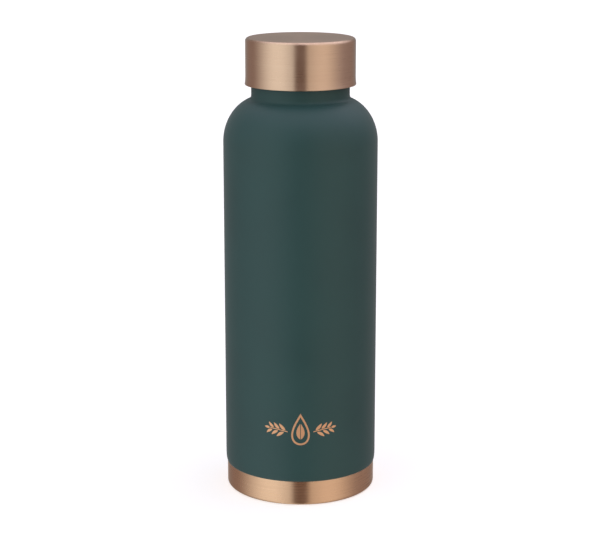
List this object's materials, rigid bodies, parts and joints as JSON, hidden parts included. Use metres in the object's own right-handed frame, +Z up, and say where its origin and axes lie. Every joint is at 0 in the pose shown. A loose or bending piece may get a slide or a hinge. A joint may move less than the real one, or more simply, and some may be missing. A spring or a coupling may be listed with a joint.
{
  "type": "copper water bottle",
  "caption": "Cylindrical copper water bottle with rounded shoulder, short threaded neck, painted body, bare copper base and copper screw cap.",
  "frame": {"origin": "centre of the circle that the bottle stands on", "axes": "+Z up along the bottle's axis, from the base to the cap; -Y towards the side with the emblem"},
  "size_m": [0.073, 0.073, 0.2178],
  "materials": {
    "green_paint": "silk dark green paint on copper",
    "brushed_copper": "copper brushed round the axis, lacquered",
    "bare_copper": "plain turned copper",
    "braze": "dull filler metal",
    "insert_plastic": "moulded, off-white",
    "silicone": "translucent white silicone"
  },
  "bodies": {
    "bottle": {"body_shell": "green_paint", "base_cup": "brushed_copper", "base_braze_ring": "braze", "neck_ring": "bare_copper", "neck_braze_ring": "braze"},
    "cap_seal": {"cap_gasket": "silicone"},
    "cap": {"cap_shell": "brushed_copper", "cap_insert": "insert_plastic", "cap_facing_disc": "bare_copper"}
  },
  "joints": [
    {"name": "cap_rise", "type": "slide", "parent": "bottle", "child": "cap_seal", "axis": [0, 0, 1], "range_m": [0, 0.027]},
    {"name": "cap_turn", "type": "hinge", "parent": "cap_seal", "child": "cap", "pos_m": [0, 0, 0.2129], "axis": [0, 0, 1], "range_deg": [0, 2160]}
  ],
  "couplings": [
    {"joint": "cap_rise", "follows": "cap_turn", "m_per_rad": 0.0007162}
  ]
}
